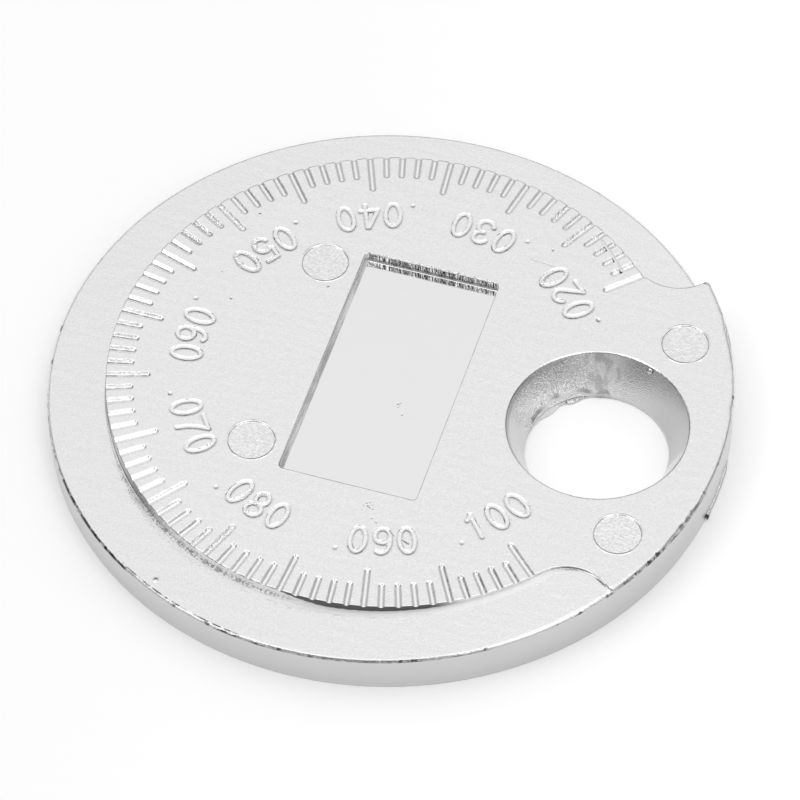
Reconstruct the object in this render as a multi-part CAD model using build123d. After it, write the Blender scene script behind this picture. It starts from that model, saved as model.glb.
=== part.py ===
"""Spark plug gap gauge: one cast disc with a rising rim, an engraved scale and a key ring hole.

The disc lies flat on z = 0 with its centre over the origin. +Z is up out of the scale face
and +X points from the centre to the key ring hole. All sizes are in millimetres.
"""

from build123d import *
from math import cos, radians, sin
import os

INCH = 25.4

# Disc and rim
DISC_DIAMETER = 1.5 * INCH
FACE_HEIGHT = 2.75
RIM_WIDTH = 3.3
FACE_EDGE_RADIUS = 0.2
RIM_BEVEL = 0.12

# Gauge scale: each mark stands beside the place where the rim is as thick as the mark says
FIRST_GAP = 0.020 * INCH
LAST_GAP = 0.100 * INCH
GAP_STEP = 0.001 * INCH
SCALE_SWEEP = 273.0
LONG_MARK_EVERY = 5
LONG_MARK = 2.5
SHORT_MARK = 1.55
MARK_WIDTH = 0.4
MARK_FLOOR = 0.1
MARK_DEPTH = 0.12
MARK_END_FACETS = 4

# Ends of the rim, round like the tool that cut the mould
END_RADIUS = 2.65
LOW_END_SHORT = 2.0
HIGH_END_PAST = 1.7
CORNER_RADIUS = 0.3
RAMP_SPARE = 12.0

# Blank name pocket in the middle
POCKET_WIDTH = 7.9
POCKET_LENGTH = 15.8
POCKET_DEPTH = 0.6
POCKET_CORNER_RADIUS = 0.25
POCKET_FLOOR_RADIUS = 0.1

# Key ring hole, as wide as the walls to the pocket and to the disc's edge leave it
POCKET_TO_HOLE = 2.95
HOLE_TO_EDGE = 2.05
HOLE_FLARE = 1.05
HOLE_NECK_LENGTH = 0.25
HOLE_EDGE_RADIUS = 0.1

# Ejector pin marks: two beside the pocket, two between the hole and the rim's ends
PIN_DIAMETER = 2.58
PIN_DEPTH = 0.05
POCKET_TO_PIN = 1.95
POCKET_PIN_SPREAD = 6.55
EDGE_TO_PIN = 2.53
EDGE_PIN_ANGLE = 24.4

# How far a cut runs past the surface that it opens
CUT_SPARE = 1.0

DISC_RADIUS = DISC_DIAMETER / 2
HOLE_MOUTH_RADIUS = (DISC_RADIUS - POCKET_WIDTH / 2 - POCKET_TO_HOLE - HOLE_TO_EDGE) / 2
HOLE_NECK_RADIUS = HOLE_MOUTH_RADIUS - HOLE_FLARE
HOLE_OFFSET = DISC_RADIUS - HOLE_TO_EDGE - HOLE_MOUTH_RADIUS
SCALE_RADIUS = DISC_RADIUS - RIM_WIDTH
FIRST_ANGLE = (360 - SCALE_SWEEP) / 2
GAP_COUNT = round((LAST_GAP - FIRST_GAP) / GAP_STEP)
RISE_PER_DEGREE = (LAST_GAP - FIRST_GAP) / SCALE_SWEEP


def rim_height(angle):
    """Thickness of the rim at an angle, in degrees anticlockwise from +X."""
    return FIRST_GAP + (angle - FIRST_ANGLE) * RISE_PER_DEGREE


def ramp_profile():
    """Radius and height of the rim's section: level, then down over the bevel at the disc's edge."""
    lip = DISC_RADIUS - RIM_BEVEL
    beyond = SCALE_RADIUS + 2 * END_RADIUS + CUT_SPARE
    return [(SCALE_RADIUS - CUT_SPARE, 0), (lip, 0), (beyond, lip - beyond)]


def above_ramp():
    """Everything over the rim's rising top and over the bevel along its edge."""
    start = FIRST_ANGLE - RAMP_SPARE
    sweep = SCALE_SWEEP + 2 * RAMP_SPARE
    pitch = 360 * RISE_PER_DEGREE
    rise = sweep * RISE_PER_DEGREE
    profile = ramp_profile()
    space = Part()
    for (near, near_height), (far, far_height) in zip(profile, profile[1:]):
        inner = Pos(0, 0, near_height) * Edge.make_helix(pitch, rise, near)
        outer = Pos(0, 0, far_height) * Edge.make_helix(pitch, rise, far)
        strip = Face.make_surface_from_curves(inner, outer)
        placed = Location((0, 0, rim_height(start)), (0, 0, start)) * strip
        space += extrude(placed, amount=3 * FACE_HEIGHT, dir=(0, 0, 1))
    return space


def full_height_plan():
    """Plan of what stands to the full height: the disc less its rim, with rounded corners."""
    start = FIRST_ANGLE + LOW_END_SHORT
    sweep = SCALE_SWEEP - LOW_END_SHORT + HIGH_END_PAST
    middle = CenterArc((0, 0), SCALE_RADIUS + END_RADIUS, start, sweep)
    plan = Circle(DISC_RADIUS) - SlotArc(middle, 2 * END_RADIUS)
    corners = [corner for corner in plan.vertices()
               if abs(Vector(corner).length - DISC_RADIUS) < 0.01 and abs(corner.Y) > END_RADIUS]
    return fillet(corners, CORNER_RADIUS)


def rim_channel():
    """The space that the casting leaves open over its rim, with a round end each way."""
    plan = Circle(DISC_RADIUS + CUT_SPARE) - full_height_plan()
    return extrude(plan, amount=2 * FACE_HEIGHT) & above_ramp()


def mark_outline(length, width):
    """Outline of a mark on +X: a faceted round end towards the centre, open past the scale's edge."""
    half = width / 2
    outer = SCALE_RADIUS + MARK_WIDTH
    centre = SCALE_RADIUS - length + MARK_WIDTH / 2
    turns = [radians(90 + 180 * step / MARK_END_FACETS) for step in range(MARK_END_FACETS + 1)]
    round_end = [(centre + half * cos(turn), half * sin(turn)) for turn in turns]
    return Polygon((outer, -half), (outer, half), *round_end, align=None)


def mark(length):
    """One engraved mark on +X, narrower at its floor than at the face, and open above it."""
    flare = (MARK_WIDTH - MARK_FLOOR) / MARK_DEPTH
    above = MARK_DEPTH / 2
    floor = Pos(0, 0, FACE_HEIGHT - MARK_DEPTH) * mark_outline(length, MARK_FLOOR)
    mouth = Pos(0, 0, FACE_HEIGHT + above) * mark_outline(length, MARK_WIDTH + above * flare)
    return loft([floor.face(), mouth.face()], ruled=True)


def scale_marks():
    """All the grooves of the scale, a long one at every fifth."""
    marks = []
    for number in range(GAP_COUNT + 1):
        length = SHORT_MARK if number % LONG_MARK_EVERY else LONG_MARK
        angle = FIRST_ANGLE + number * SCALE_SWEEP / GAP_COUNT
        marks.append(Rot(0, 0, angle) * mark(length))
    return marks


def key_ring_hole():
    """A straight neck at the underside that opens into a wide funnel."""
    neck = HOLE_NECK_RADIUS
    mouth = HOLE_MOUTH_RADIUS
    below = -CUT_SPARE
    above = FACE_HEIGHT + CUT_SPARE
    with BuildPart() as hole:
        with BuildSketch(Plane.XZ):
            with BuildLine():
                Polyline((0, below), (neck, below), (neck, HOLE_NECK_LENGTH),
                         (mouth, FACE_HEIGHT), (mouth, above), (0, above), close=True)
            make_face()
        revolve(axis=Axis.Z)
    return Pos(HOLE_OFFSET, 0, 0) * hole.part


def name_pocket():
    """The shallow blank pocket, with a rounded corner all round its floor."""
    plan = RectangleRounded(POCKET_WIDTH, POCKET_LENGTH, POCKET_CORNER_RADIUS)
    block = extrude(plan, amount=2 * POCKET_DEPTH)
    block = fillet(block.faces().sort_by(Axis.Z)[0].edges(), POCKET_FLOOR_RADIUS)
    return Pos(0, 0, FACE_HEIGHT - POCKET_DEPTH) * block


def pin_marks():
    """Four shallow round marks left by the ejector pins."""
    along = POCKET_WIDTH / 2 + POCKET_TO_PIN
    radius = DISC_RADIUS - EDGE_TO_PIN
    dents = []
    for side in (-1, 1):
        dent = Cylinder(PIN_DIAMETER / 2, 2 * PIN_DEPTH)
        dents.append(Pos(-along, side * POCKET_PIN_SPREAD, FACE_HEIGHT) * dent)
        dents.append(Rot(0, 0, side * EDGE_PIN_ANGLE) * Pos(radius, 0, FACE_HEIGHT) * dent)
    return dents


def gauge():
    disc = extrude(Circle(DISC_RADIUS), amount=FACE_HEIGHT)
    disc = fillet(disc.faces().sort_by(Axis.Z)[-1].edges(), FACE_EDGE_RADIUS)
    body = disc - rim_channel() - scale_marks()
    body = body - [name_pocket(), key_ring_hole()] - pin_marks()
    mouth = [edge for edge in body.edges().filter_by(GeomType.CIRCLE)
             if abs(edge.radius - HOLE_MOUTH_RADIUS) < 0.01]
    return fillet(mouth, HOLE_EDGE_RADIUS)


os.makedirs("parts", exist_ok=True)
shape = gauge()
shape.label = "gauge"
export_step(shape, "parts/gauge.step")
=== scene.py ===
"""Spark plug gap gauge: the finish of the plated casting with reflections and shade painted into it, its
engraved numbers, its wear and the studio.

The disc lies on z = 0, +Z is up out of the scale face and +X points from the disc's centre to the
key ring hole. Sizes are in millimetres and become metres where a mesh, a camera or a bevel is made.
Turns are in degrees anticlockwise, about the disc's centre or about the hole's.
"""

from math import cos, pi, radians, sin

import bpy
import numpy as np
from mathutils import Matrix, Vector


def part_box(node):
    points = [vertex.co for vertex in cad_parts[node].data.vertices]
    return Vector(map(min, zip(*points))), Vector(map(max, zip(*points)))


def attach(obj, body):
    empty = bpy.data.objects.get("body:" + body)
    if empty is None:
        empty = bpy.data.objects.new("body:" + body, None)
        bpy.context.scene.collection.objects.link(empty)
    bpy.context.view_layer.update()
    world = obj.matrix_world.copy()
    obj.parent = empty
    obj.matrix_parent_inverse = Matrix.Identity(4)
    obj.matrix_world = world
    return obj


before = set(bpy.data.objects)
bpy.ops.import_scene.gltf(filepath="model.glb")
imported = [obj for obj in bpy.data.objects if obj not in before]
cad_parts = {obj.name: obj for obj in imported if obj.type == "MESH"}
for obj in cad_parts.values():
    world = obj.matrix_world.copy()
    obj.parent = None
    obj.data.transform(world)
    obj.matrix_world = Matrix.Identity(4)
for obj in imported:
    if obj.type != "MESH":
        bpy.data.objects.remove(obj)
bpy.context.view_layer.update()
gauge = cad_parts["gauge"]
MM = 0.001

# The casting, as the CAD has it
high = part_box("gauge")[1]
DISC_RADIUS = high.x / MM
FACE = high.z / MM
RIM_WIDTH = 3.3
SCALE_RADIUS = DISC_RADIUS - RIM_WIDTH
SCALE_SWEEP = 273.0
FIRST_ANGLE = (360 - SCALE_SWEEP) / 2
MARK_DEPTH = 0.12
MARKS_FROM = 13.0
POCKET_HALF = (3.95, 7.9)
POCKET_DEPTH = 0.6
HOLE_OFFSET = 11.95
HOLE_MOUTH = 5.05
HOLE_NECK = 4.0
NECK_HEIGHT = 0.25
FUNNEL_SPREAD = 0.42
PIN_RADIUS = 1.29
POCKET_PINS = (-5.9, 6.55)
EDGE_PIN_RADIUS = 16.52
EDGE_PIN_TURN = 24.4

# The scale's first and last mark, in thousandths of an inch, and one thousandth in millimetres
FIRST_GAP = 20
LAST_GAP = 100
GAP_UNIT = 0.0254
MARK_PITCH = SCALE_SWEEP / (LAST_GAP - FIRST_GAP)

# Camera, fitted to the photograph
EYE = Vector((54.22, -162.0, 221.66)) * MM
AIM = Vector((0.396, 0.461, 0.0)) * MM
LENS = 225.79
SENSOR = 36.0
ROLL = -1.04
NEAREST = 10
FARTHEST = 20000

# Studio: the room's radiance, which grows from the horizon up, and a bright ring high in it.
# Panels are given by their left, right, bottom and top edges, in degrees to the right of the
# camera and up, and by the share of the room's light that they give.
CAMERA_TURN = -71.67
FACE_MIRRORS = 52
SKY = 1.0
HORIZON = 0.55
HORIZON_SPAN = (8, 46)
LIFT = 0.45
RING = 1.8
RING_SPAN = (68, 77)
PANELS = ((-52, 14, 34, 64, 0.08), (20, 60, 44, 62, 1.9), (64, 94, 36, 58, 0.2), (92, 122, 18, 46, 0.5),
          (-122, -84, 14, 44, 0.3), (-98, -56, 46, 62, 2.4))
PANEL_SOFTNESS = 4
WHITE = (1, 1, 1, 1)
FLOOR_HALF = 1500
FLOOR_DROP = 0.01
FLOOR_PAINT = (0.9, 0.9, 0.9, 1)
# The floor's glow from the disc's left edge to its right: the rise paints the shadow lighter on the right
FLOOR_GLOW = (0.19, 0.25)

# Finish: the share of the light that each part of the casting gives back, with reflections and shade painted
# into the tones of the walls, step wall, funnel, hole's mouth and neck
METAL = 0.80
MOTTLE = 0.2
# The walls' darker tone partly paints the shade that they mirror
WALL_TONE = 0.79 * METAL
# The step wall's tones paint the reflections and shade seen on it: a painted highlight in front, painted
# shade at the left and in the crescent
LIT_STEP_TONE = 1.1 * METAL
LEFT_STEP_TONE = 0.5 * METAL
DARK_STEP_TONE = 0.26 * METAL
CRESCENT_SHADE_TONE = 0.16 * METAL
TORN_WALL_TONE = (0.4 * METAL, METAL)
# The pocket's side walls and the foot of its left wall are matte and lighter: drawn streaks, with painted
# light in place of what their metal would mirror
SIDE_WALL_TONE = 1.05 * METAL
SIDE_FOOT_TONE = 0.92 * METAL
# The funnel's tones are painted shade, darkest where it faces the room's dark panels
FUNNEL_TONE = (0.66 * METAL, 0.92 * METAL)
LEFT_FUNNEL_TONE = 0.8 * METAL
SMEAR_TONE = 0.64 * METAL
# Painted shade: a grey line along the near side of the hole's mouth, and a grey band on its neck
MOUTH_SHADE_TONE = 0.6 * METAL
NECK_SHADE_TONE = 0.75 * METAL
GROOVE_TONE = 0.88
MATTE_TONE = 1.0
# The tone of wear and flecks, and of painted shade in pits, gaps and along the edge
FLAW_AND_SHADE_TONE = 0.07

# How much each part blurs what it mirrors
FACE_ROUGHNESS = 0.16
POLISH_ROUGHNESS = 0.05
WALL_ROUGHNESS = 0.2
STEP_ROUGHNESS = 0.08
GROOVE_ROUGHNESS = 0.25
MATTE_ROUGHNESS = 0.5

# How far the edges look rounded off, and how much the light in a groove leans up besides
EDGE_ROUND = (0.04, 0.14)
CRISP_ROUND = 0.03
GROOVE_ROUND = 0.1
RIM_EDGE_ROUND = 0.16
FACE_EDGE_ROUND = 0.3
PIN_ROUND = 0.18
CORNER_ROUND = 0.01
BEVEL_SAMPLES = 8
GROOVE_EASE = 0.26

# Share of the normal that points up, on a level surface and on a steep one
STEEP = (0.72, 0.4)

# Where a zone starts and is full, past the line that it goes by
POCKET_SIDES = (0.12, 0.08)
POCKET_TOP = (-0.01, -0.05)
POCKET_END = (-0.12, -0.04)
SIDE_FOOT = (0.21, 0.16)
TORN_ACROSS = (0.05, -0.05)
TORN_TOP = (-0.1, -0.05)
HOLE_EDGE = (0.05, -0.05)
NECK_TOP = (0.02, -0.01)
GROOVE_INNER = (-0.1, 0.1)
GROOVE_OUTER = (0.04, 0.0)
RIM_INNER = (-0.1, 0.0)
RIM_TOP = (-0.05, -0.15)
CORNER_TOP = (0.2, 0.14)
# The lit strip is matte white and paints light on the rim's foot, where its metal would mirror the dark step
# wall
LIT_STRIP = (0.5, 0.3)
# The dark strip is painted shade along the rim at the step wall's foot
DARK_STRIP = (0.13, 0.09)
SHAKEN_STRIP = (0.6, 0.05)
CRUMB_STRIP = (0.2, 0.12)
CRUMB_TOP = (0.12, 0.06)
RIM_EDGE = (-0.3, -0.2)
RIM_EDGE_ABOVE = (0.3, 0.5)
FACE_EDGE = (-0.45, -0.35)
FACE_EDGE_ABOVE = (-0.3, -0.25)
PIN_EDGE = (0.02, -0.02)

# Where a band starts and ends past the line that it goes by, and how soft both its ends are
TORN_BEYOND = (0.01, 0.1, 0.03)
MOUTH_BAND = (-0.16, 0.02, 0.03)
GROOVE_BAND = (-MARK_DEPTH - 0.02, -0.02, 0.01)
STEP_BAND = (-0.1, 0.1, 0.03)
CORNER_BAND = (-0.06, 0.16, 0.02)
BURR_BAND = (0.04, 0.1, 0.04)

# Arcs about the disc: start, end and softness in degrees
MARKS_ARC = (42, 318, 0.5)
CORNER_ARC = (262, 318, 3)
LIT_ARC = (228, 325, 6)
DARK_ARC = (168, 208, 6)
SHAKEN_ARC = (229, 258, 5)
CRUMBS_ARC = (229, 266, 4)
DASHED_ARC = (224, 262, 3)

# Arcs about the hole
GRITTY_ARC = (108, 178, 14)
LEFT_FUNNEL_ARC = (160, 240, 15)
MOUTH_ARC = (150, 275, 25)
SMEAR_ARC = (84, 112, 8)
FUNNEL_LIGHTENS = (40, 110)

# The step wall's painted reflections and shade: the turns between which its tone changes, what its black
# crescent of painted shade covers as that grows up from the foot, and the dark dashes along its top, by their
# share of its height and by the noise in them
STEP_DARKENS = (204, 222)
STEP_LIGHTENS = (226, 240)
CRESCENT_GROWS = (260, 277)
CRESCENT_ENDS = (303, 295)
CRESCENT_COVERS = (1.1, 1.3)
CRESCENT_RAGGED = 0.35
DASHED_TOP = (0.72, 0.85)
DASHES = (0.44, 0.54)

# Noises: features a millimetre and octaves of detail
FINE = (3.2, 4.0)
MOTTLED = (10.0, 1.0)
EDGE_WAVER = (1.6, 2.0)

# Skins: features a millimetre, octaves of detail and height
SWELL = (0.8, 1.0, 0.017)
PEEL = (2.4, 2.0, 0.01)
GRAIN = (8.0, 1.0, 0.011)
POLISH = (0.6, 1.0, 0.012)
FUNNEL_SKIN = (12.0, 1.0, 0.008)
TORN_WALL = (5.0, 3.0, 0.14)
SIDE_WALL = (5.0, 2.0, 0.02)
GROOVE_SKIN = (6.0, 2.0, 0.008)
COARSE_GROOVE = (9.0, 2.0, 0.06)
PIN_FLOOR = (7.0, 2.0, 0.024)
TORN_EDGE = (7.0, 2.0, 0.12)
SHAKEN_FOOT = (13.0, 2.0, 0.06)
SHEARED_STEP = (9.0, 3.0, 1.0)

# The sheared step wall's height all along, and what it gains over two arcs
SHEARED_LEAST = 0.005
SHEARED_ARCS = ((224, 243, 4, 0.04), (243, 262, 3, 0.012))

# Patches: features a millimetre, octaves of detail, the noise where a patch starts and where it is
# full, and then the values outside and inside it where they aren't nothing and one
FUNNEL_GRAINS = (15.0, 1.0, 0.58, 0.7)
FUNNEL_CLUMPS = (1.2, 1.0, 0.36, 0.52)
FUNNEL_SPECKS_AND_GLINTS = (13.0, 1.0, 0.4, 0.64, -0.16, 0.3)
SMEARS = (1.6, 3.0, 0.45, 0.6)
BURR_BREAKS = (1.5, 1.0, 0.36, 0.56)
PEBBLES = (6.5, 1.0, 0.32, 0.68, -0.09, 0.06)
TORN_STREAKS = (3.0, 3.0, 0.35, 0.65, *TORN_WALL_TONE)
DRAWN_STREAKS = (5.0, 3.0, 0.35, 0.65, 0.7, 1.15)
CRUMBS = (7.0, 5.0, 0.46, 0.56, -0.1, 0.6)
FLECKS = (2.4, 3.0, 0.58, 0.66, 0.0, 0.7)
SIDE_DASHES = (3.4, 3.0, 0.4, 0.56)
FLOOR_LINE = (4.0, 3.0, 0.3, 0.6, 0.2, 0.72)
NICK_DASHES = (2.6, 4.0, 0.4, 0.56)
STRAY_NICKS = (1.1, 4.0, 0.62, 0.65, 0.0, 0.8)
NICK_RAGGED = (0.34, 0.62, 0.2, 1.8)
GRAIN_HEIGHT = 0.03
BURR_HEIGHT = 0.018

# How a pattern is drawn out: the least factor is along its streaks
SWELL_STRETCH = (0.5, 2.4, 1.0)
TORN_STRETCH = (1, 1, 0.12)
STREAK_STRETCH = (1, 1, 0.15)
DRAWN_STRETCH = (1, 0.12, 1)
SMEAR_STRETCH = (1.2, 1.2, 0.3)

# Where the grooves are grainy, in thousandths of an inch, and how grainy the numbers' are
COARSE_MARKS = ((22.5, 27.5), (49.5, 53.5), (78.5, 80.5))
COARSE_SOFTNESS = 1.5
COARSE_NUMBERS = 0.3

# Where one side of the marks' grooves is darker, in thousandths of an inch, and which side
DARK_GROOVE_SIDES = ((22.5, 27.5, 1), (46.5, 52.5, -1), (78.5, 80.5, -1), (94.5, 100.5, 1))
DARK_SIDE_BAND = (0.1, 0.15, 0.025)
DARK_SIDE_STRENGTH = 0.5
DARK_SIDE_SOFTNESS = 0.5

# Where the middle of their floors is darker
DARK_FLOOR_ARC = (150, 203, 6)
DARK_FLOOR_HALF = (0.07, 0.03)

# Which part of a number's groove may be flecked, by how deep it is sunk
FLECKED_BAND = (0.15, 0.7, 0.1)

# Where the disc's upper edge is worn or painted with dark reflection lines: start and end in degrees, how far
# in, and how dark
NICKS_AND_DARK_LINES = ((197, 218, 0.03, 0.7), (217, 239, 0.07, 1.0), (258, 266, 0.05, 0.9), (266, 300, 0.03, 0.6),
          (300, 304, 0.04, 0.8), (319, 320.4, 0.06, 0.9), (326, 334, 0.04, 0.7), (334, 337.5, 0.11, 0.9),
          (338, 343, 0.05, 0.8), (343, 352, 0.12, 0.6))
NICK_SOFTNESS = 0.7
NICK_FROM_EDGE = 0.01
NICK_INWARD = (0.0, 0.02)
NICK_LEAST = (0.005, 0.02)
BETWEEN_DASHES = 0.25
BETWEEN_DARK_DASHES = 0.9
INNER_NICKS_ARC = (238, 262, 1.0)
INNER_NICKS_BAND = (-0.21, -0.13, 0.02)
STRAY_EDGE = (-0.14, -0.1)
NICK_SLOPE = (0.06, 0.12)
NICK_ABOVE = (0.3, 0.4)

# Engraved numbers. A glyph's lines run through the middle of its strokes, in shares of these halves
GLYPH_HALF = (0.42, 0.81)
GLYPH_RADIUS = 11.43
GLYPH_PITCH = 6.7
POINT_PITCH = 5.3
POINT_RADIUS = 12.2
POINT_HALF = 0.17
STROKE_HALF = 0.2
STROKE_FLOOR = 0.25
NUMBER_DEPTH = 0.047
ARC_STEP = 12
PATCH_GRID = 0.03
PATCH_LIFT = 0.004
TINY = 1e-12

# Where the middle digit of each number stands, in degrees past its own mark
NUMBER_SHIFT = {20: 3.8, 30: 2.45, 40: 1.7, 50: -0.3, 60: 2.7, 70: 1.2, 80: 0.4, 90: 3.1, 100: 1.5}

# Scratches, from one place to another, with half their width, their depth and their darkness
SCRATCHES = (((4.03, -10.62), (4.45, -10.77), 0.06, 0.015, 0.9),
             ((3.2, -10.2), (3.52, -10.5), 0.05, 0.012, 0.7),
             ((14.46, -9.58), (15.35, -10.14), 0.07, 0.01, 0.0),
             ((5.1, 10.2), (6.6, 10.05), 0.04, 0.006, 0.0))

# Pits in the face and in the pocket's floor, with half their width
PITS = ((2.33, -9.89, 0.07), (2.04, -9.7, 0.06), (1.57, -8.96, 0.08), (1.7, -9.05, 0.06), (1.45, -8.8, 0.06),
        (1.62, -8.72, 0.05), (1.8, -8.85, 0.05), (1.35, -9.0, 0.05), (1.9, -9.1, 0.06), (-10.16, 2.56, 0.09),
        (-10.57, 8.91, 0.08), (6.1, 11.16, 0.09), (-5.23, 4.97, 0.08), (-11.27, 4.26, 0.06))
POCKET_PITS = ((0.9, -1.41, 0.08), (0.95, -1.6, 0.05), (1.0, -1.3, 0.05), (1.34, -2.08, 0.06))
PIT_STEEPNESS = 0.45
# How dark the pits are painted: painted shade in them
PIT_SHADE = 0.5

# A fine proud line that the mould left, and a pimple on the rim
CASTING_LINE = ((8.55, 12.63), (9.4, 11.8), (10.23, 10.86))
CASTING_LINE_HALF = 0.07
CASTING_LINE_HEIGHT = 0.02
PIMPLE = (-8.01, -16.53)
PIMPLE_HALF = 0.2
PIMPLE_HEIGHT = 0.07
PIMPLE_TURN = 244.1
WEAR_LIFT = 0.003

# Casting flash round the back of the hole's neck, at turns about the hole: how far it stands out
# inward, how far its skin climbs the funnel, and how open the gap behind it is, 0 to 1, which also sets the
# shade painted in the gap
HOLE_FLASH = ((172, 0.0, 0.0, 0.0), (167, 0.05, 0.12, 1.0), (160, 0.1, 0.2, 1.0), (154, 0.2, 0.2, 0.7),
              (148, 0.28, 0.3, 0.1), (143, 0.22, 0.42, 0.5), (138, 0.1, 0.34, 0.9), (134, 0.13, 0.4, 0.1),
              (128, 0.26, 0.42, 0.0), (122, 0.22, 0.34, 0.5), (117, 0.07, 0.24, 1.0), (112, 0.03, 0.12, 0.8),
              (107, 0.02, 0.1, 0.3), (103, 0.03, 0.18, 0.8), (98, 0.02, 0.12, 1.0), (94, 0.0, 0.0, 0.0))
FLASH_STEPS = 150
FLASH_CRUMPLE = 0.03
FLASH_SHINES_UNDER = 140
FLASH_SHINE_SOFTNESS = 8

# The bead of flash along the foot of the outer wall, and the pit near its end, painted dark as shade
BEAD_ARC = (5, -8)
BEAD_STEPS = 90
BEAD_SIDES = 8
BEAD_RADIUS = 0.1
BEAD_HEIGHT = 0.13
BEAD_TAPER = (6, 16)
BEAD_WAVES = 26
BEAD_WAVINESS = 0.25
BEAD_SWELLING = 1.2
BEAD_THINNEST = 0.02
BEAD_PIT = (0.93, 0.98)

# A drop of metal that hangs at the back of the funnel's mouth: its place, its half width, and how
# tall it is and how far it stands out in shares of that
DROP_TURN = 70
DROP_OUT = 4.9
DROP_UP = 2.5
DROP_RADIUS = 0.2
DROP_ROWS = 6
DROP_STEPS = 12
DROP_TALL = 0.9
DROP_PROUD = 0.5
# How dark the painted shade round the drop's base is
DROP_SHADE = 0.9


def camera():
    """A long lens from above the near side, rolled about one degree as the photograph is."""
    toward = (AIM - EYE).normalized()
    right = toward.cross(Vector((0, 0, 1))).normalized()
    up = right.cross(toward)
    roll = radians(ROLL)
    turned_right = right * cos(roll) + up * sin(roll)
    turned_up = up * cos(roll) - right * sin(roll)
    data = bpy.data.cameras.new("camera")
    data.lens = LENS
    data.sensor_width = SENSOR
    data.clip_start = NEAREST * MM
    data.clip_end = FARTHEST * MM
    eye = bpy.data.objects.new("camera", data)
    axes = Matrix((turned_right, turned_up, -toward)).transposed().to_4x4()
    eye.matrix_world = Matrix.Translation(EYE) @ axes
    bpy.context.scene.collection.objects.link(eye)
    bpy.context.scene.camera = eye


def add(tree, kind, values=None, **settings):
    """One new shader node. A value that is a socket is linked, and any other is set."""
    node = tree.nodes.new(kind)
    for name, value in settings.items():
        setattr(node, name, value)
    for key, value in (values or {}).items():
        socket = node.inputs[key]
        if isinstance(value, bpy.types.NodeSocket):
            tree.links.new(value, socket)
        else:
            socket.default_value = value
    return node


def calc(tree, operation, first, second=0.0, third=0.0):
    """A Math node's result."""
    return add(tree, "ShaderNodeMath", {0: first, 1: second, 2: third}, operation=operation).outputs[0]


def combined(tree, operation, values):
    """Several values put together by one operation."""
    result = values[0]
    for value in values[1:]:
        result = calc(tree, operation, result, value)
    return result


def total(tree, values):
    """The sum of several values."""
    return combined(tree, "ADD", values)


def product(tree, values):
    """Several values multiplied."""
    return combined(tree, "MULTIPLY", values)


def largest(tree, values):
    """The largest of several values."""
    return combined(tree, "MAXIMUM", values)


def less(tree, value):
    """What is left of one."""
    return calc(tree, "SUBTRACT", 1.0, value)


def blend(tree, share, first, last):
    """From first to last as share goes from 0 to 1."""
    span = calc(tree, "SUBTRACT", last, first)
    return calc(tree, "MULTIPLY_ADD", span, share, first)


def layered(tree, base, layers):
    """A base value that each layer covers in turn, as far as the layer's share goes."""
    for share, value in layers:
        base = blend(tree, share, base, value)
    return base


def band(tree, value, start, end, first=0.0, last=1.0):
    """A smooth step of value, from first at start to last at end."""
    values = {"Value": value, "From Min": start, "From Max": end, "To Min": first, "To Max": last}
    node = add(tree, "ShaderNodeMapRange", values, interpolation_type="SMOOTHSTEP")
    return node.outputs["Result"]


def between(tree, value, start, end, soft):
    """One from start to end, with a soft step at each."""
    rise = band(tree, value, start - soft, start + soft)
    return product(tree, [rise, band(tree, value, end + soft, end - soft)])


def past(tree, value, line, step):
    """A smooth step of value at a place past a line."""
    return band(tree, value, line + step[0], line + step[1])


def within(tree, value, line, step):
    """A band of value at a place past a line."""
    start, end, soft = step
    return between(tree, value, line + start, line + end, soft)


def noise(tree, vector, scale, detail):
    """Noise about a half."""
    values = {"Vector": vector, "Scale": scale, "Detail": detail}
    return add(tree, "ShaderNodeTexNoise", values).outputs[0]


def skin(tree, vector, scale, detail, height):
    """Height of a rough skin, about nothing."""
    return calc(tree, "MULTIPLY_ADD", noise(tree, vector, scale, detail), height, -height / 2)


def patchy(tree, vector, scale, detail, start, end, first=0.0, last=1.0):
    """Noise cut into patches: first outside them and last inside."""
    return band(tree, noise(tree, vector, scale, detail), start, end, first, last)


def stretched(tree, vector, factors):
    """A place scaled along each axis, which draws a noise out along the axis with the least factor."""
    return add(tree, "ShaderNodeVectorMath", {0: vector, 1: factors}, operation="MULTIPLY").outputs[0]


def length(tree, across, along):
    """Distance in the plan."""
    squares = [product(tree, [across, across]), product(tree, [along, along])]
    return calc(tree, "SQRT", total(tree, squares))


def degrees_about(tree, across, along):
    """Turn in the plan from +X, 0 to 360 degrees."""
    turn = calc(tree, "DEGREES", calc(tree, "ARCTAN2", along, across))
    return calc(tree, "WRAP", turn, 360.0, 0.0)


def components(tree, vector):
    """The three parts of a vector, by name."""
    return add(tree, "ShaderNodeSeparateXYZ", {0: vector}).outputs


def pictured(tree):
    """One for rays that show a surface as a picture: straight from the camera or by reflection."""
    path = add(tree, "ShaderNodeLightPath").outputs
    return largest(tree, [path["Is Camera Ray"], path["Is Glossy Ray"], path["Is Transmission Ray"]])


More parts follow.
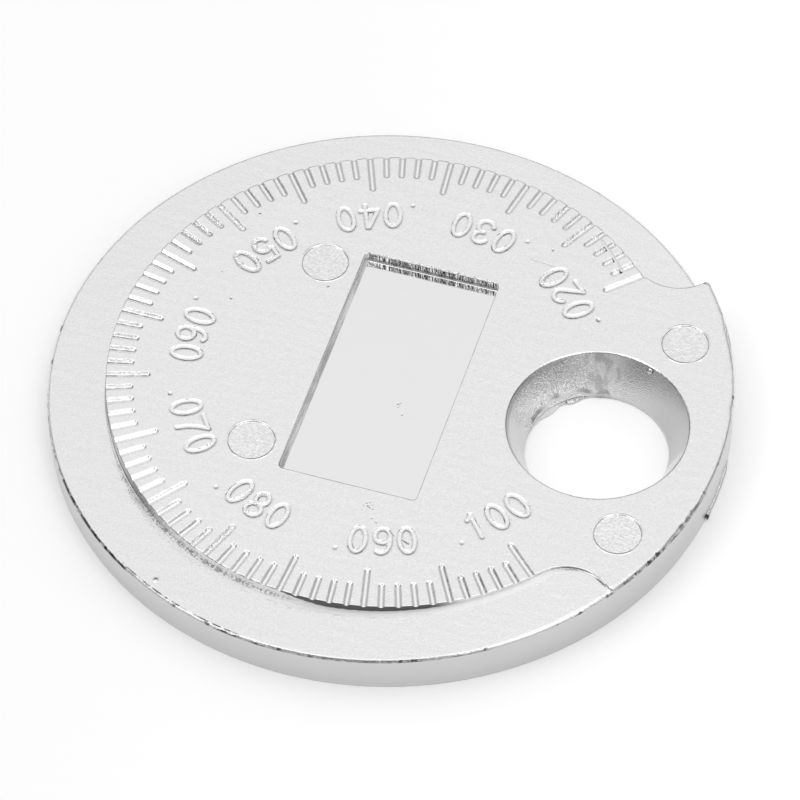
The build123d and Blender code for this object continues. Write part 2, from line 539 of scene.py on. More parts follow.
def room_light(tree, direction):
    """How bright the room is in a direction: its sky, the ring high in it and the panels."""
    parts = components(tree, direction)
    turn = calc(tree, "ARCTAN2", parts["Y"], parts["X"])
    from_camera = calc(tree, "SUBTRACT", turn, radians(CAMERA_TURN))
    around = calc(tree, "WRAP", from_camera, pi, -pi)
    height = calc(tree, "ARCSINE", parts["Z"])
    soft = radians(PANEL_SOFTNESS)

    def inside(value, start, end):
        return between(tree, value, radians(start), radians(end), soft)

    low_sky = band(tree, height, radians(HORIZON_SPAN[0]), radians(HORIZON_SPAN[1]), HORIZON, SKY)
    ring = calc(tree, "MULTIPLY_ADD", inside(height, *RING_SPAN), RING - 1.0, 1.0)
    lift = calc(tree, "MULTIPLY_ADD", parts["Z"], LIFT, 1.0 - LIFT * sin(radians(FACE_MIRRORS)))
    level = product(tree, [low_sky, ring, lift])
    for left, right, bottom, top, kept in PANELS:
        panel = product(tree, [inside(around, left, right), inside(height, bottom, top)])
        level = product(tree, [level, calc(tree, "MULTIPLY_ADD", panel, kept - 1.0, 1.0)])
    return level


def studio_world():
    """A pale room that lights the gauge, and plain white where the camera sees it."""
    world = bpy.data.worlds.new("studio")
    world.use_nodes = True
    tree = world.node_tree
    tree.nodes.clear()
    direction = add(tree, "ShaderNodeTexCoord").outputs["Generated"]
    level = room_light(tree, direction)
    camera_ray = add(tree, "ShaderNodeLightPath").outputs["Is Camera Ray"]
    lit = add(tree, "ShaderNodeBackground", {"Color": WHITE, "Strength": level}).outputs[0]
    seen = add(tree, "ShaderNodeBackground", {"Color": WHITE, "Strength": 1.0}).outputs[0]
    mixed = add(tree, "ShaderNodeMixShader", {0: camera_ray, 1: lit, 2: seen}).outputs[0]
    add(tree, "ShaderNodeOutputWorld", {"Surface": mixed})
    bpy.context.scene.world = world


def floor_white():
    """Matte white that glows just enough to look white, and a little more on the right, which paints the
    gauge's shadow lighter there.
    """
    material = bpy.data.materials.new("floor_white")
    material.use_nodes = True
    tree = material.node_tree
    tree.nodes.clear()
    paint = add(tree, "ShaderNodeBsdfDiffuse", {"Color": FLOOR_PAINT}).outputs[0]
    place = add(tree, "ShaderNodeTexCoord").outputs["Object"]
    edge = DISC_RADIUS * MM
    glow = band(tree, components(tree, place)["X"], -edge, edge, *FLOOR_GLOW)
    strength = calc(tree, "MULTIPLY", pictured(tree), glow)
    glowing = add(tree, "ShaderNodeEmission", {"Color": WHITE, "Strength": strength}).outputs[0]
    both = add(tree, "ShaderNodeAddShader", {0: paint, 1: glowing}).outputs[0]
    add(tree, "ShaderNodeOutputMaterial", {"Surface": both})
    return material


def floor():
    """The table, which keeps the gauge's soft shadow."""
    mesh = bpy.data.meshes.new("floor")
    signs = ((-1, -1), (1, -1), (1, 1), (-1, 1))
    corners = [(x * FLOOR_HALF * MM, y * FLOOR_HALF * MM, -FLOOR_DROP * MM) for x, y in signs]
    mesh.from_pydata(corners, [], [(0, 1, 2, 3)])
    mesh.materials.append(floor_white())
    table = bpy.data.objects.new("floor", mesh)
    bpy.context.scene.collection.objects.link(table)


def mark_angle(gap):
    """Where the mark of a gap in thousandths of an inch stands, in degrees from +X."""
    return FIRST_ANGLE + (gap - FIRST_GAP) * MARK_PITCH


def rim_height(turn):
    """Height of the rim at a turn."""
    gap = FIRST_GAP + (turn - FIRST_ANGLE) / MARK_PITCH
    return gap * GAP_UNIT


def on_circle(radius, angle):
    """A place in the plan, from its radius and its turn."""
    turn = radians(angle)
    return radius * np.array((cos(turn), sin(turn)))


def attribute(tree, name):
    """A number that a mesh carries at each point, nothing where it carries none."""
    return add(tree, "ShaderNodeAttribute", attribute_name=name).outputs["Fac"]


def places(tree):
    """Where on the gauge a point is, how steep it is, and what its mesh says of it."""
    place = add(tree, "ShaderNodeTexCoord").outputs["Object"]
    mm = add(tree, "ShaderNodeVectorMath", {0: place, "Scale": 1 / MM}, operation="SCALE").outputs[0]
    parts = components(tree, mm)
    normal = add(tree, "ShaderNodeNewGeometry").outputs["Normal"]
    slope = components(tree, normal)["Z"]
    steep = band(tree, slope, *STEEP)
    from_hole = calc(tree, "SUBTRACT", parts["X"], HOLE_OFFSET)
    at = {
        "mm": mm, "x": parts["X"], "y": parts["Y"], "z": parts["Z"],
        "slope": slope, "steep": steep, "level": less(tree, steep),
        "radius": length(tree, parts["X"], parts["Y"]),
        "turn": degrees_about(tree, parts["X"], parts["Y"]),
        "hole_turn": degrees_about(tree, from_hole, parts["Y"]),
        "fine": noise(tree, mm, *FINE),
    }
    at.update((name, attribute(tree, name)) for name in ("sunk", "patch", "dark", "matte"))
    return at


def reach(tree, at, x, y):
    """Distance in the plan from a place."""
    across = calc(tree, "SUBTRACT", at["x"], x)
    along = calc(tree, "SUBTRACT", at["y"], y)
    return length(tree, across, along)


def pocket_zones(tree, at):
    """The pocket's floor and walls, the dull foot of its left wall, which like the side walls is lightened
    with painted light, and its torn far edge.
    """
    side_x, side_y = (calc(tree, "SUBTRACT", calc(tree, "ABSOLUTE", at[axis]), half)
                      for axis, half in zip("xy", POCKET_HALF))
    outside = largest(tree, [side_x, side_y])
    pocket = product(tree, [past(tree, outside, 0, POCKET_SIDES), past(tree, at["z"], FACE, POCKET_TOP)])
    floor_share = product(tree, [pocket, at["level"]])
    walls = product(tree, [pocket, at["steep"]])
    at_end = past(tree, side_y, 0, POCKET_END)
    return {
        "pocket": pocket,
        "pocket_floor": floor_share,
        "far_wall": product(tree, [walls, at_end]),
        "side_wall": product(tree, [walls, less(tree, at_end)]),
        "side_foot": product(tree, [floor_share, past(tree, at["x"], -POCKET_HALF[0], SIDE_FOOT)]),
        "torn_edge": product(tree, [within(tree, at["y"], POCKET_HALF[1], TORN_BEYOND),
                                    past(tree, side_x, 0, TORN_ACROSS), past(tree, at["z"], FACE, TORN_TOP)]),
    }


def hole_zones(tree, at):
    """The key ring hole: its funnel, its neck and the left of its mouth, where shade is painted, and its
    gritty side.
    """
    out = reach(tree, at, HOLE_OFFSET, 0.0)
    hole = past(tree, out, HOLE_MOUTH, HOLE_EDGE)
    return {
        "hole": hole,
        "off_hole": less(tree, hole),
        "funnel": product(tree, [hole, at["steep"]]),
        "neck": product(tree, [hole, past(tree, at["z"], NECK_HEIGHT, NECK_TOP)]),
        "mouth": product(tree, [within(tree, out, HOLE_MOUTH, MOUTH_BAND),
                                between(tree, at["hole_turn"], *MOUTH_ARC)]),
        "gritty": between(tree, at["hole_turn"], *GRITTY_ARC),
    }


def scale_zones(tree, at, zone):
    """The grooves, and the step wall between the scale and the rim."""
    groove = product(tree, [within(tree, at["z"], FACE, GROOVE_BAND), less(tree, zone["pocket"]),
                            past(tree, at["radius"], SCALE_RADIUS, GROOVE_OUTER), zone["off_hole"],
                            at["level"], past(tree, at["radius"], MARKS_FROM, GROOVE_INNER),
                            between(tree, at["turn"], *MARKS_ARC)])
    step_wall = product(tree, [at["steep"], within(tree, at["radius"], SCALE_RADIUS, STEP_BAND),
                               zone["off_hole"]])
    return {
        "groove": largest(tree, [groove, at["sunk"]]),
        "step_wall": step_wall,
        "crisp_edge": product(tree, [step_wall, between(tree, at["turn"], *CORNER_ARC)]),
    }


def rim_zones(tree, at, zone):
    """The rim: strips along its foot, one of them painted shade and one painted light, the corner below the
    step wall, and the outer edges.
    """
    radius = at["radius"]
    height = calc(tree, "MULTIPLY_ADD", at["turn"], GAP_UNIT / MARK_PITCH, rim_height(0))
    above_rim = calc(tree, "SUBTRACT", at["z"], height)
    rim = product(tree, [past(tree, radius, SCALE_RADIUS, RIM_INNER), past(tree, at["z"], FACE, RIM_TOP),
                         zone["off_hole"]])

    def strip(reaches, arc, *shares):
        along = between(tree, at["turn"], *arc)
        return product(tree, [rim, past(tree, radius, SCALE_RADIUS, reaches), along, *shares])

    return {
        "up_step": calc(tree, "DIVIDE", above_rim, calc(tree, "SUBTRACT", FACE, height)),
        "corner": product(tree, [within(tree, radius, SCALE_RADIUS, CORNER_BAND), zone["off_hole"],
                                 past(tree, above_rim, 0, CORNER_TOP),
                                 between(tree, at["turn"], *CORNER_ARC)]),
        # painted light: a matte white strip
        "lit_matte_foot": strip(LIT_STRIP, LIT_ARC, at["level"]),
        # painted shade at the step wall's foot
        "shaded_foot": strip(DARK_STRIP, DARK_ARC, at["level"]),
        "shaken_foot": strip(SHAKEN_STRIP, SHAKEN_ARC),
        "crumbs": strip(CRUMB_STRIP, CRUMBS_ARC, past(tree, above_rim, 0, CRUMB_TOP)),
        "rim_edge": product(tree, [past(tree, radius, DISC_RADIUS, RIM_EDGE),
                                   past(tree, at["z"], 0, RIM_EDGE_ABOVE)]),
        "face_edge": product(tree, [past(tree, radius, DISC_RADIUS, FACE_EDGE),
                                    past(tree, at["z"], FACE, FACE_EDGE_ABOVE)]),
    }


def pin_zones(tree, at):
    """The insides of the ejector pin marks, and the thin burr round each."""
    inside = 0.0
    burr = 0.0
    for side in (-1, 1):
        beside_pocket = (POCKET_PINS[0], side * POCKET_PINS[1])
        by_hole = on_circle(EDGE_PIN_RADIUS, side * EDGE_PIN_TURN)
        for x, y in (beside_pocket, by_hole):
            out = reach(tree, at, x, y)
            inside = total(tree, [inside, past(tree, out, PIN_RADIUS, PIN_EDGE)])
            burr = total(tree, [burr, within(tree, out, PIN_RADIUS, BURR_BAND)])
    return {"pin": inside, "burr": burr}


def zones(tree, at):
    """Shares from 0 to 1 of the parts of the casting that are finished unlike the rest, or painted with light
    or shade.
    """
    zone = {**pocket_zones(tree, at), **hole_zones(tree, at), **pin_zones(tree, at)}
    zone.update(scale_zones(tree, at, zone))
    zone.update(rim_zones(tree, at, zone))
    return zone


def funnel_height(tree, at, zone):
    """The funnel's skin: fine grain, with proud grains on the side that the metal reached last."""
    mm = at["mm"]
    proud = product(tree, [zone["gritty"], patchy(tree, mm, *FUNNEL_GRAINS),
                           patchy(tree, mm, *FUNNEL_CLUMPS)])
    return calc(tree, "MULTIPLY_ADD", proud, GRAIN_HEIGHT, skin(tree, mm, *FUNNEL_SKIN))


def groove_height(tree, at):
    """The grooves' skin, with coarse grains in a few stretches of the scale and in the numbers."""
    coarse = 0.0
    for start, end in COARSE_MARKS:
        arc = between(tree, at["turn"], mark_angle(start), mark_angle(end), COARSE_SOFTNESS)
        coarse = total(tree, [coarse, arc])
    coarse = largest(tree, [coarse, product(tree, [at["patch"], COARSE_NUMBERS])])
    grains = product(tree, [coarse, skin(tree, at["mm"], *COARSE_GROOVE)])
    return total(tree, [grains, skin(tree, at["mm"], *GROOVE_SKIN)])


def step_height(tree, at):
    """The step wall's skin, torn where the casting dragged along the mould."""
    height = SHEARED_LEAST
    for start, end, soft, gain in SHEARED_ARCS:
        height = calc(tree, "MULTIPLY_ADD", between(tree, at["turn"], start, end, soft), gain, height)
    return product(tree, [height, skin(tree, at["mm"], *SHEARED_STEP)])


def surface_height(tree, at, zone):
    """Height of the surface texture in millimetres: cast grain, pin marks, torn and sheared walls."""
    mm = at["mm"]
    swell = skin(tree, stretched(tree, mm, SWELL_STRETCH), *SWELL)
    height = total(tree, [swell, skin(tree, mm, *PEEL), skin(tree, mm, *GRAIN)])
    height = layered(tree, height, (
        (zone["pocket_floor"], skin(tree, mm, *POLISH)),
        (zone["funnel"], funnel_height(tree, at, zone)),
        (zone["far_wall"], skin(tree, stretched(tree, mm, TORN_STRETCH), *TORN_WALL)),
        (zone["side_wall"], skin(tree, mm, *SIDE_WALL)),
        (zone["groove"], groove_height(tree, at)),
        (product(tree, [zone["pin"], at["level"]]), skin(tree, mm, *PIN_FLOOR)),
    ))
    burr = product(tree, [zone["burr"], patchy(tree, mm, *BURR_BREAKS), BURR_HEIGHT])
    torn = product(tree, [zone["torn_edge"], skin(tree, mm, *TORN_EDGE)])
    shaken = product(tree, [zone["shaken_foot"], skin(tree, mm, *SHAKEN_FOOT)])
    height = total(tree, [height, burr, torn, shaken])
    return blend(tree, zone["step_wall"], height, step_height(tree, at))


def dark_groove_lines(tree, at, zone):
    """Darker dashes down one side of some marks' grooves, and a ragged darker line along the floors of
    others.
    """
    mark = calc(tree, "MULTIPLY_ADD", at["turn"], 1 / MARK_PITCH, 0.5 - FIRST_ANGLE / MARK_PITCH)
    offset = calc(tree, "SUBTRACT", calc(tree, "FRACT", mark), 0.5)
    across = product(tree, [offset, at["radius"], radians(MARK_PITCH)])
    dashes = product(tree, [patchy(tree, at["mm"], *SIDE_DASHES), DARK_SIDE_STRENGTH])
    side_lines = 0.0
    for start, end, side in DARK_GROOVE_SIDES:
        wall = between(tree, product(tree, [across, float(side)]), *DARK_SIDE_BAND)
        there = between(tree, at["turn"], mark_angle(start), mark_angle(end), DARK_SIDE_SOFTNESS)
        side_lines = total(tree, [side_lines, product(tree, [wall, there, dashes])])
    middle = band(tree, calc(tree, "ABSOLUTE", across), *DARK_FLOOR_HALF)
    there = between(tree, at["turn"], *DARK_FLOOR_ARC)
    line = product(tree, [middle, there, patchy(tree, at["mm"], *FLOOR_LINE)])
    return product(tree, [total(tree, [side_lines, line]), zone["groove"], less(tree, at["patch"])])


def edge_nicks_and_dark_reflections(tree, at):
    """Dark wear and painted dark reflections along the disc's upper edge, ragged on its inner side and broken
    into dashes.
    """
    ragged = band(tree, at["fine"], *NICK_RAGGED)
    dashes = patchy(tree, at["mm"], *NICK_DASHES)
    inner = product(tree, [within(tree, at["radius"], DISC_RADIUS, INNER_NICKS_BAND), dashes,
                           between(tree, at["turn"], *INNER_NICKS_ARC)])
    stray = product(tree, [patchy(tree, at["mm"], *STRAY_NICKS),
                           past(tree, at["radius"], DISC_RADIUS, STRAY_EDGE)])
    nicks = [inner, stray]
    for start, end, width, strength in NICKS_AND_DARK_LINES:
        here = product(tree, [between(tree, at["turn"], start, end, NICK_SOFTNESS), width])
        limit = calc(tree, "SUBTRACT", DISC_RADIUS - NICK_FROM_EDGE, product(tree, [here, ragged]))
        inward = calc(tree, "SUBTRACT", at["radius"], limit)
        least = BETWEEN_DARK_DASHES if strength == 1.0 else BETWEEN_DASHES
        nicks.append(product(tree, [band(tree, inward, *NICK_INWARD, 0.0, strength),
                                    band(tree, here, *NICK_LEAST), largest(tree, [dashes, least])]))
    return product(tree, [largest(tree, nicks), band(tree, at["slope"], *NICK_SLOPE),
                          band(tree, at["z"], *NICK_ABOVE)])


def flaws_and_painted_shade(tree, at, zone):
    """How dark each place is, from 0 to 1: wear, flecks and darker groove lines, painted shade in pits, in
    the flash's gaps and round the drop, and dark reflections painted along the edge.
    """
    flecks = product(tree, [between(tree, at["sunk"], *FLECKED_BAND), at["patch"],
                            patchy(tree, at["mm"], *FLECKS)])
    marked = total(tree, [dark_groove_lines(tree, at, zone), at["dark"], flecks])
    return calc(tree, "MINIMUM", largest(tree, [edge_nicks_and_dark_reflections(tree, at), marked]), 1.0)


def painted_step_tone(tree, at, zone):
    """The step wall's painted reflections and shade: dark at the left, a painted highlight in front, and
    black in the crescent under the scale.
    """
    darkens = band(tree, at["turn"], *STEP_DARKENS, LEFT_STEP_TONE, DARK_STEP_TONE)
    grown = band(tree, at["turn"], *CRESCENT_GROWS)
    ragged = product(tree, [at["fine"], CRESCENT_RAGGED])
    covered = band(tree, total(tree, [zone["up_step"], grown, ragged]), *CRESCENT_COVERS)
    dashed = product(tree, [band(tree, zone["up_step"], *DASHED_TOP), between(tree, at["turn"], *DASHED_ARC),
                            band(tree, at["fine"], *DASHES)])
    return layered(tree, darkens, (
        (band(tree, at["turn"], *STEP_LIGHTENS), LIT_STEP_TONE),
        (product(tree, [covered, band(tree, at["turn"], *CRESCENT_ENDS)]), CRESCENT_SHADE_TONE),
        (dashed, LEFT_STEP_TONE),
    ))


def funnel_tone(tree, at, zone):
    """The funnel: painted shade, darker on the side of the room's dark panels, and specks where it is gritty,
    the bright ones painted glints.
    """
    tone = band(tree, at["hole_turn"], *FUNNEL_LIGHTENS, *FUNNEL_TONE)
    tone = blend(tree, between(tree, at["hole_turn"], *LEFT_FUNNEL_ARC), tone, LEFT_FUNNEL_TONE)
    specks_and_glints = product(tree, [zone["gritty"], patchy(tree, at["mm"], *FUNNEL_SPECKS_AND_GLINTS)])
    return calc(tree, "MULTIPLY_ADD", specks_and_glints, tone, tone)


def surface_tone(tree, at, zone):
    """Share of the light that each place gives back, with painted reflections, highlights and shade in it."""
    mm = at["mm"]
    mottled = noise(tree, mm, *MOTTLED)
    face = calc(tree, "MULTIPLY_ADD", mottled, METAL * MOTTLE, METAL * (1 - MOTTLE / 2))
    drawn = patchy(tree, stretched(tree, mm, DRAWN_STRETCH), *DRAWN_STREAKS)
    smears = product(tree, [zone["funnel"], between(tree, at["hole_turn"], *SMEAR_ARC),
                            patchy(tree, stretched(tree, mm, SMEAR_STRETCH), *SMEARS)])
    tone = layered(tree, face, (
        (zone["pocket_floor"], METAL),
        # walls: partly painted shade
        (at["steep"], WALL_TONE),
        # painted reflections and shade on the step wall
        (zone["step_wall"], painted_step_tone(tree, at, zone)),
        # painted shade along the rim at the step wall's foot
        (zone["shaded_foot"], LEFT_STEP_TONE),
        (zone["far_wall"], patchy(tree, stretched(tree, mm, STREAK_STRETCH), *TORN_STREAKS)),
        # painted light on the pocket's side walls and at the foot of its left wall, with drawn streaks
        (zone["side_wall"], product(tree, [drawn, SIDE_WALL_TONE])),
        (zone["side_foot"], product(tree, [drawn, SIDE_FOOT_TONE])),
        # painted shade and painted glints in the funnel
        (zone["funnel"], funnel_tone(tree, at, zone)),
        # painted shade at the hole's mouth and on its neck
        (zone["mouth"], MOUTH_SHADE_TONE),
        (zone["neck"], NECK_SHADE_TONE),
        (zone["groove"], GROOVE_TONE),
        # matte white: painted light on the rim's foot, and the flash's dull skin
        (largest(tree, [zone["lit_matte_foot"], at["matte"]]), MATTE_TONE),
        (product(tree, [zone["crumbs"], patchy(tree, mm, *CRUMBS)]), DARK_STEP_TONE),
        (smears, SMEAR_TONE),
    ))
    pebbles = product(tree, [zone["pin"], patchy(tree, mm, *PEBBLES)])
    tone = calc(tree, "MULTIPLY_ADD", pebbles, tone, tone)
    return blend(tree, flaws_and_painted_shade(tree, at, zone), tone, FLAW_AND_SHADE_TONE)


def surface_normal(tree, at, zone):
    """The normal, with edges that look rounded off and with the surface texture."""
    off_patch = less(tree, at["patch"])
    waver = calc(tree, "MULTIPLY_ADD", noise(tree, at["mm"], *EDGE_WAVER), EDGE_ROUND[1] - EDGE_ROUND[0],
                 EDGE_ROUND[0])
    rounding = layered(tree, waver, (
        (zone["crisp_edge"], CRISP_ROUND),
        (zone["groove"], GROOVE_ROUND),
        (zone["rim_edge"], RIM_EDGE_ROUND),
        (zone["face_edge"], FACE_EDGE_ROUND),
        (product(tree, [zone["pin"], at["steep"]]), PIN_ROUND),
        (zone["corner"], CORNER_ROUND),
    ))
    bevel_radius = product(tree, [rounding, off_patch, MM])
    normal = add(tree, "ShaderNodeBevel", {"Radius": bevel_radius}, samples=BEVEL_SAMPLES).outputs[0]
    eased = product(tree, [zone["groove"], off_patch, GROOVE_EASE])
    upward = add(tree, "ShaderNodeCombineXYZ", {2: eased}).outputs[0]
    normal = add(tree, "ShaderNodeVectorMath", {0: normal, 1: upward}, operation="ADD").outputs[0]
    normal = add(tree, "ShaderNodeVectorMath", {0: normal}, operation="NORMALIZE").outputs[0]
    bump = {"Height": surface_height(tree, at, zone), "Distance": MM, "Normal": normal}
    return add(tree, "ShaderNodeBump", bump).outputs[0]


def plated_metal():
    """Nickel plate over a zinc casting: satin on the faces, polished in the pocket, dull on the walls, with
    reflections and shade painted into its tone.
    """
    material = bpy.data.materials.new("plated_metal")
    material.use_nodes = True
    tree = material.node_tree
    tree.nodes.clear()
    at = places(tree)
    zone = zones(tree, at)
    tone = surface_tone(tree, at, zone)
    dull_lit_wall = largest(tree, [zone["side_wall"], zone["side_foot"]])
    matte = total(tree, [dull_lit_wall, zone["lit_matte_foot"], at["matte"]])
    roughness = layered(tree, FACE_ROUGHNESS, (
        (at["steep"], WALL_ROUGHNESS),
        (zone["pocket_floor"], POLISH_ROUGHNESS),
        (zone["step_wall"], STEP_ROUGHNESS),
        (zone["groove"], GROOVE_ROUGHNESS),
        (matte, MATTE_ROUGHNESS),
    ))
    shader = add(tree, "ShaderNodeBsdfPrincipled", {
        "Base Color": add(tree, "ShaderNodeCombineColor", {0: tone, 1: tone, 2: tone}).outputs[0],
        "Metallic": less(tree, matte),
        "Roughness": roughness,
        "Normal": surface_normal(tree, at, zone),
    }).outputs[0]
    add(tree, "ShaderNodeOutputMaterial", {"Surface": shader})
    return material


def arc(x, y, across, up, start, end):
    """Points of an elliptic arc, its angles in degrees."""
    steps = max(6, round(abs(end - start) / ARC_STEP))
    turns = [radians(start + (end - start) * step / steps) for step in range(steps + 1)]
    return [(x + across * cos(turn), y + up * sin(turn)) for turn in turns]


SIX = [arc(0.15, 0.0, 1.15, 1.0, 62, 180) + arc(0, -0.42, 1.0, 0.58, 180, 540)]
GLYPHS = {
    "0": [arc(0, 0, 1.0, 1.0, 0, 360)],
    "1": [[(0.1, 1.0), (0.1, -1.0)], [(0.1, 1.0), (-0.2, 0.75), (-0.6, 0.62)]],
    "2": [arc(0, 0.5, 1.0, 0.5, 165, -25) + [(0.1, -0.25), (-1.0, -1.0), (1.1, -1.0)]],
    "3": [arc(0, 0.52, 0.95, 0.48, 160, -90) + arc(0, -0.48, 1.05, 0.52, 90, -160)],
    "4": [[(0.2, 1.0), (-1.25, -0.5), (1.1, -0.5)], [(0.45, 1.0), (0.45, -1.0)]],
    "5": [[(0.95, 1.0), (-0.7, 1.0), (-0.95, 0.15)] + arc(0, -0.4, 1.0, 0.6, 130, -155)],
    "6": SIX,
    "7": [[(-1.25, 1.0), (1.15, 1.0), (0.35, 0.3), (-0.1, -0.3), (-0.3, -1.0)]],
    "8": [arc(0, 0.5, 0.85, 0.5, 0, 360), arc(0, -0.5, 1.05, 0.5, 0, 360)],
    "9": [[(-x, -y) for x, y in line] for line in SIX],
}


def stroke_distance(points, lines):
    """Distance from each point to the nearest of the lines."""
    nearest = np.full(len(points), np.inf)
    for line in lines:
        line = np.array(line)
        for start, end in zip(line, line[1:]):
            run = end - start
            share = np.clip((points - start) @ run / max(run @ run, TINY), 0, 1)
            gap = points - start - share[:, None] * run
            nearest = np.minimum(nearest, np.hypot(gap[:, 0], gap[:, 1]))
    return nearest


def set_values(mesh, name, values):
    """A number for each point of a mesh, which the metal reads."""
    mesh.attributes.new(name, "FLOAT", "POINT").data.foreach_set("value", values)


class Patches:
    """Thin patches that lie on the casting and lean the light as grooves and ridges in it do."""

    def __init__(self):
        self.points = []
        self.normals = []
        self.sunk = []
        self.dark = []
        self.faces = []
        self.count = 0

    def cut(self, lines, half, depth, height, angle=0.0, centre=(0.0, 0.0), floor=0.0, dark=0.0):
        """A round-edged groove along some lines, which are turned and then moved to a centre.

        The floor is the share of its width that is flat. A depth below zero makes a ridge.
        """
        every = np.vstack([np.array(line, float) for line in lines])
        start = every.min(0) - half - PATCH_GRID
        count = np.ceil((every.max(0) + half + PATCH_GRID - start) / PATCH_GRID).astype(int) + 1
        across, up = np.meshgrid(np.arange(count[0]), np.arange(count[1]), indexing="ij")
        flat = start + PATCH_GRID * np.stack([across.ravel(), up.ravel()], 1)
        share = np.clip((stroke_distance(flat, lines) / half - floor) / (1 - floor), 0, 1)
        sunk = 0.5 + 0.5 * np.cos(pi * share)
        lean = np.gradient(-depth * sunk.reshape(across.shape), PATCH_GRID)
        normal = np.stack([-lean[0].ravel(), -lean[1].ravel(), np.ones(len(flat))], 1)
        normal /= np.linalg.norm(normal, axis=1)[:, None]
        corner = (across[:-1, :-1] * count[1] + up[:-1, :-1]).ravel()
        quads = np.stack([corner, corner + count[1], corner + count[1] + 1, corner + 1], 1)
        quads = quads[(sunk[quads] > 0).any(1)]
        turn = radians(angle)
        spin = np.array(((cos(turn), sin(turn)), (-sin(turn), cos(turn))))
        self.points.append(np.column_stack([flat @ spin + centre, np.full(len(flat), height + PATCH_LIFT)]))
        self.normals.append(np.column_stack([normal[:, :2] @ spin, normal[:, 2]]))
        self.sunk.append(sunk if depth > 0 else 0 * sunk)
        self.dark.append(dark * sunk)
        self.faces.append(quads + self.count)
        self.count += len(flat)

    def mesh(self, name):
        """All the patches as one mesh, without the points that no face uses."""
        faces = np.vstack(self.faces)
        used, faces = np.unique(faces, return_inverse=True)
        mesh = bpy.data.meshes.new(name)
        mesh.from_pydata(np.vstack(self.points)[used] * MM, [], faces.reshape(-1, 4).tolist())
        mesh.shade_smooth()
        mesh.normals_split_custom_set_from_vertices(np.vstack(self.normals)[used].tolist())
        set_values(mesh, "sunk", np.concatenate(self.sunk)[used])
        set_values(mesh, "dark", np.concatenate(self.dark)[used])
        set_values(mesh, "patch", np.ones(len(used)))
        return mesh


def piece(mesh, metal):
    """A mesh shown as part of the gauge, with its metal."""
    mesh.materials.append(metal)
    shown = bpy.data.objects.new(mesh.name, mesh)
    bpy.context.scene.collection.objects.link(shown)
    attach(shown, "root")
    return shown


def numbers(metal):
    """The engraved numbers of the scale, tops to the centre."""
    patches = Patches()
    for gap, shift in NUMBER_SHIFT.items():
        middle = mark_angle(gap) + shift
        for step, digit in enumerate(f"{gap:03d}"):
            lines = [[(x * GLYPH_HALF[0], y * GLYPH_HALF[1]) for x, y in line] for line in GLYPHS[digit]]
            angle = middle + (step - 1) * GLYPH_PITCH
            centre = on_circle(GLYPH_RADIUS, angle)
            patches.cut(lines, STROKE_HALF, NUMBER_DEPTH, FACE, angle + 90, centre, STROKE_FLOOR)
        angle = middle - GLYPH_PITCH - POINT_PITCH
        centre = on_circle(POINT_RADIUS, angle)
        patches.cut([[(0, 0), (0, 0)]], POINT_HALF, NUMBER_DEPTH, FACE, angle, centre)
    return piece(patches.mesh("numbers"), metal)


def wear(metal):
    """Scratches and pits of a gauge that has been carried about, and what the mould left."""
    patches = Patches()
    for start, end, half, depth, dark in SCRATCHES:
        patches.cut([(start, end)], half, depth, FACE + WEAR_LIFT, dark=dark)
    for pits, height in ((PITS, FACE), (POCKET_PITS, FACE - POCKET_DEPTH)):
        for x, y, half in pits:
            depth = PIT_STEEPNESS * half
            # painted shade in each pit
            patches.cut([((x, y), (x, y))], half, depth, height + WEAR_LIFT, dark=PIT_SHADE)
    patches.cut([CASTING_LINE], CASTING_LINE_HALF, -CASTING_LINE_HEIGHT, FACE)
    on_rim = rim_height(PIMPLE_TURN) + WEAR_LIFT
    patches.cut([(PIMPLE, PIMPLE)], PIMPLE_HALF, -PIMPLE_HEIGHT, on_rim)
    return piece(patches.mesh("wear"), metal)


def waves(place, seed):
    """A smooth irregular value about 0, from -1 to 1, of a place along a line."""
    return (sin(1.0 * place + seed) + sin(2.3 * place + 2.1 * seed) + sin(4.1 * place + 3.7 * seed)) / 3


def lofted(name, rings, closed, dark, metal):
    """A skin over rings of points that have one length each, with a darkness for every point."""
    count = len(rings[0])
    points = [[value * MM for value in point] for ring in rings for point in ring]
    faces = []
    for row in range(len(rings) - 1):
        for column in range(count if closed else count - 1):
            across = (column + 1) % count
            faces.append((row * count + column, row * count + across, (row + 1) * count + across,
                          (row + 1) * count + column))
    mesh = bpy.data.meshes.new(name)
    mesh.from_pydata(points, [], faces)
    mesh.shade_smooth()
    set_values(mesh, "dark", dark)
    return piece(mesh, metal)


def flash_section(angle, stand, climb, gap):
    """Distance out and height of the flash's skin, from its lip up over the funnel's wall."""
    crumple = FLASH_CRUMPLE * min(1.0, climb / 0.1)
    lip = HOLE_NECK - stand - crumple * waves(0.5 * angle, 1.0)
    crest = NECK_HEIGHT + climb + crumple * waves(0.9 * angle, 2.0)
    shelf = 0.12 + 0.3 * (HOLE_NECK - lip) + crumple * waves(0.7 * angle, 4.0)
    behind = crest + 0.02 + gap * (0.22 + 0.06 * waves(1.9 * angle, 6.0))
    wall, far_wall = (HOLE_NECK + FUNNEL_SPREAD * (up - NECK_HEIGHT) for up in (crest, behind))
    return ((lip + 0.02, 0.0), (lip, 0.08), (lip + 0.03, 0.12), (HOLE_NECK + 0.03, shelf),
            (wall - 0.06, crest), (wall - 0.03, crest + 0.02),
            (far_wall - 0.02, behind), (far_wall + 0.06, behind + 0.02))


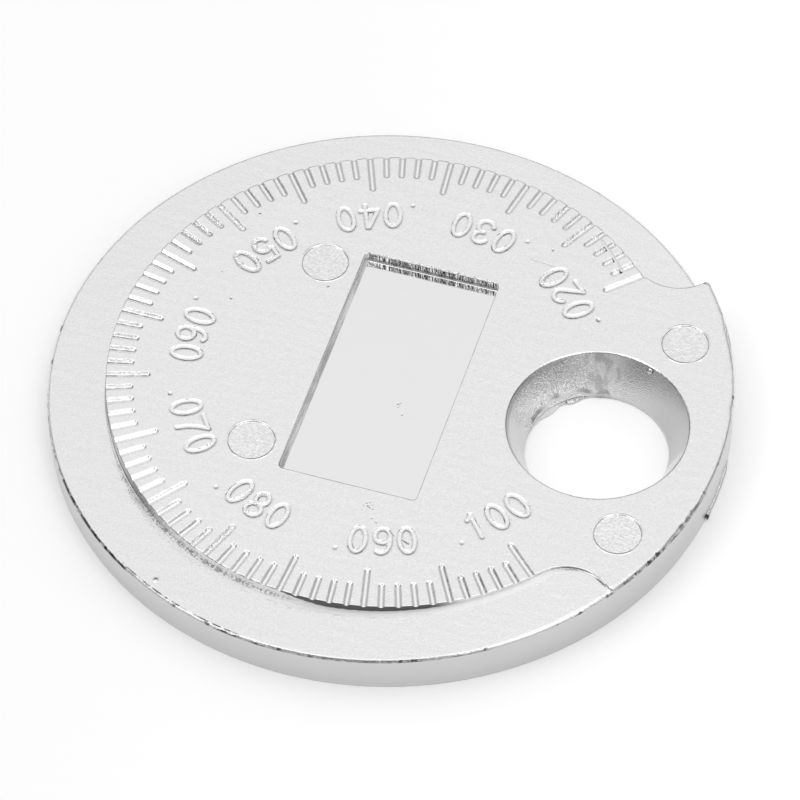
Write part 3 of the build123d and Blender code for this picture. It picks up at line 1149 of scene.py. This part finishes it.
def hole_flash(metal):
    """The strip that the mould's halves let through at the hole: bright, with painted shade in the gaps
    behind it and along its lip.

    Each point of its section has a darkness, which paints that shade, and a share of matte.
    """
    angles, stands, climbs, gaps = (np.array(column)[::-1] for column in zip(*HOLE_FLASH))
    rings = []
    dark = []
    matte = []
    for angle in np.linspace(angles[-1], angles[0], FLASH_STEPS):
        stand, climb, gap = (np.interp(angle, angles, column) for column in (stands, climbs, gaps))
        # Painted shade in the gap behind the flash and along its lip
        torn = gap * (0.7 + 0.3 * waves(3.1 * angle, 5.0))
        dull = 1 - min(1.0, max(0.0, (FLASH_SHINES_UNDER - angle) / FLASH_SHINE_SOFTNESS))
        dark += [0.35, 0.1, 0.0, 0.0, 0.1 * gap, torn, 0.8 * torn, 0.0]
        matte += [1.0, 1.0, dull, dull, 1.0, 1.0, 1.0, 1.0]
        ring = [(*on_circle(out, angle), up) for out, up in flash_section(angle, stand, climb, gap)]
        rings.append([(HOLE_OFFSET + x, y, up) for x, y, up in ring])
    shown = lofted("hole_flash", rings, False, dark, metal)
    set_values(shown.data, "matte", matte)
    return shown


def foot_bead(metal):
    """The bead of flash along the foot of the outer wall, which swells towards its pitted end."""
    rings = []
    dark = []
    start, end = BEAD_ARC
    for step in range(BEAD_STEPS + 1):
        share = step / BEAD_STEPS
        turn = radians(start + (end - start) * share)
        taper = min(1.0, BEAD_TAPER[0] * share, BEAD_TAPER[1] * (1 - share)) ** 0.5
        wavy = 1 + BEAD_WAVINESS * waves(BEAD_WAVES * share, 3.0)
        swollen = 1 + BEAD_SWELLING * share ** 12
        thick = max(BEAD_THINNEST, taper * wavy * swollen) * BEAD_RADIUS
        ring = []
        for side in range(BEAD_SIDES):
            lean = 2 * pi * side / BEAD_SIDES
            out = DISC_RADIUS + thick * cos(lean)
            ring.append((out * cos(turn), out * sin(turn), BEAD_HEIGHT + thick * sin(lean)))
        rings.append(ring)
        # painted shade in the bead's pit
        dark += [1.0 if BEAD_PIT[0] < share < BEAD_PIT[1] else 0.0] * BEAD_SIDES
    return lofted("foot_bead", rings, True, dark, metal)


def mouth_drop(metal):
    """The drop, domed out of the funnel's wall, with painted shade round its base."""
    turn = radians(DROP_TURN)
    out = Vector((cos(turn), sin(turn), 0))
    side = Vector((-sin(turn), cos(turn), 0))
    up_slope = (Vector((0, 0, 1)) + FUNNEL_SPREAD * out).normalized()
    inward = up_slope.cross(side)
    centre = Vector((HOLE_OFFSET, 0, DROP_UP)) + DROP_OUT * out
    rings = []
    for row in range(DROP_ROWS):
        lean = pi / 2 * row / (DROP_ROWS - 1)
        ring = []
        for step in range(DROP_STEPS):
            spin = 2 * pi * step / DROP_STEPS
            flat = cos(lean) * (cos(spin) * side + DROP_TALL * sin(spin) * up_slope)
            ring.append(centre + DROP_RADIUS * (flat + DROP_PROUD * sin(lean) * inward))
        rings.append(ring)
    # painted shade round the drop's base, where it meets the funnel
    dark = [DROP_SHADE] * DROP_STEPS + [0.0] * DROP_STEPS * (DROP_ROWS - 1)
    return lofted("mouth_drop", rings, True, dark, metal)


bpy.context.scene.view_settings.view_transform = "Standard"
camera()
studio_world()
floor()
metal = plated_metal()
gauge.data.materials[0] = metal
numbers(metal)
wear(metal)
hole_flash(metal)
foot_bead(metal)
mouth_drop(metal)
